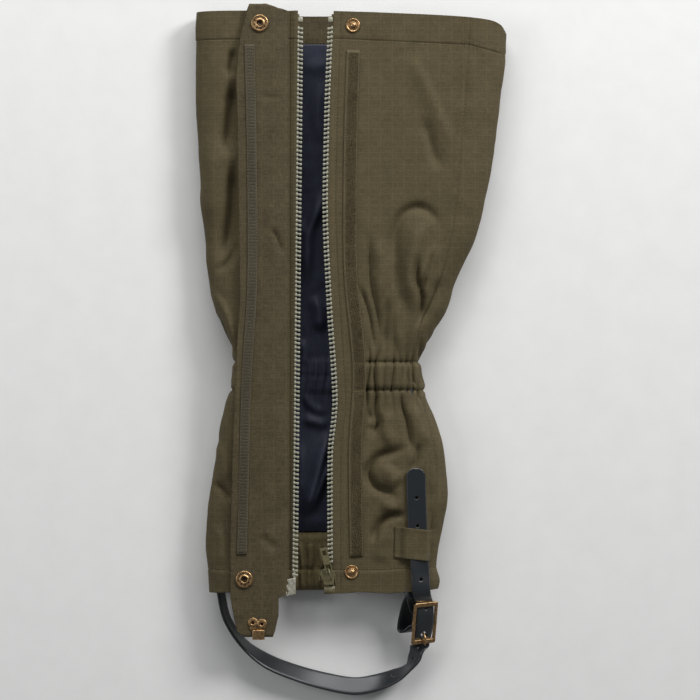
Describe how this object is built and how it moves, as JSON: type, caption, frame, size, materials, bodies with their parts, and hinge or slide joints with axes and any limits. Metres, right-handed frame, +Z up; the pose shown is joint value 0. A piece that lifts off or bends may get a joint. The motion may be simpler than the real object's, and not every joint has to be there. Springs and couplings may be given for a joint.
{
  "type": "hiking gaiter",
  "caption": "Knee-high hiking gaiter with an open front zip, fold-over storm flap, snap fasteners, lace hook and buckled instep strap.",
  "frame": {"origin": "middle of the gaiter's outline, at the underside of its back panel, on the surface it lies on", "axes": "+Y towards the top edge, +X towards the side with the keeper and buckle, +Z up out of the front"},
  "size_m": [0.243, 0.5396, 0.0347],
  "materials": {
    "olive_fabric": "matte ripstop",
    "flap_fabric": "matte",
    "lining": "soft sheen",
    "elastic": "matte",
    "hook_tape": "fine hooks",
    "loop_tape": "brushed loops",
    "zip_tape": "matte",
    "zip_teeth": "satin",
    "painted_metal": "satin",
    "bronze": "antique",
    "strap": "smooth coated"
  },
  "bodies": {
    "sleeve": {"back_panel": "olive_fabric", "left_side_panel": "olive_fabric", "right_outer_panel": "olive_fabric", "right_side_panel": "olive_fabric", "back_lining": "lining", "right_outer_lining": "lining", "back_top_facing": "olive_fabric", "back_hem_facing": "olive_fabric", "ankle_elastic_back": "elastic", "ankle_elastic_outer": "elastic", "hem_elastic": "elastic", "strap_keeper": "olive_fabric", "strap_tail": "strap", "strap_anchor": "strap", "buckle_strap_anchor": "strap"},
    "left_front": {"left_front_panel": "olive_fabric", "left_front_lining": "lining", "left_zip_tape": "zip_tape", "left_zip_teeth": "zip_teeth", "left_zip_top_stop": "zip_teeth", "left_zip_pin": "zip_teeth", "ankle_elastic_left": "elastic"},
    "storm_flap": {"storm_flap_outer": "flap_fabric", "storm_flap_inner": "flap_fabric", "hook_tape": "hook_tape", "top_snap_socket": "bronze", "bottom_snap_socket": "bronze", "top_snap_cap": "bronze", "bottom_snap_cap": "bronze", "lace_hook": "bronze", "lace_hook_rivet_left": "bronze", "lace_hook_rivet_right": "bronze"},
    "right_front": {"right_front_panel": "olive_fabric", "right_front_lining": "lining", "right_zip_tape": "zip_tape", "right_zip_teeth": "zip_teeth", "right_zip_top_stop": "zip_teeth", "zip_retainer_box": "zip_teeth", "loop_tape": "loop_tape", "top_snap_stud": "bronze", "bottom_snap_stud": "bronze", "top_stud_washer": "bronze", "bottom_stud_washer": "bronze", "ankle_elastic_right": "elastic"},
    "zip_slider": {"slider_body": "painted_metal"},
    "pull_tab": {"pull_tab": "painted_metal"},
    "instep_strap": {"instep_strap": "strap", "buckle_strap": "strap", "buckle_frame": "bronze", "buckle_bar": "bronze"},
    "buckle_tongue": {"buckle_tongue": "bronze"}
  },
  "joints": [
    {"name": "left_fold", "type": "hinge", "parent": "sleeve", "child": "left_front", "pos_m": [-0.0946, 0, 0.028], "axis": [0, -1, 0], "range_deg": [0, 100]},
    {"name": "flap_fold", "type": "hinge", "parent": "left_front", "child": "storm_flap", "pos_m": [-0.0493, 0, 0.03], "axis": [0, 1, 0], "range_deg": [0, 155]},
    {"name": "right_fold", "type": "hinge", "parent": "sleeve", "child": "right_front", "pos_m": [0.026, 0, 0.028], "axis": [0, 1, 0], "range_deg": [0, 120]},
    {"name": "zip_slide", "type": "slide", "parent": "right_front", "child": "zip_slider", "axis": [0, 1, 0], "range_m": [0, 0.418]},
    {"name": "pull_tab_flip", "type": "hinge", "parent": "zip_slider", "child": "pull_tab", "pos_m": [-0.0166, -0.1714, 0.0324], "axis": [0.9659, 0.2588, 0], "range_deg": [0, 165]},
    {"name": "strap_swing", "type": "hinge", "parent": "sleeve", "child": "instep_strap", "pos_m": [-0.102, -0.189, 0.021], "axis": [-0.9979, -0.0027, -0.0643], "range_deg": [0, 70]},
    {"name": "tongue_lift", "type": "hinge", "parent": "instep_strap", "child": "buckle_tongue", "pos_m": [0.0557, -0.21123, 0.0156], "axis": [-0.8887, -0.0517, 0.4555], "range_deg": [0, 8]}
  ]
}
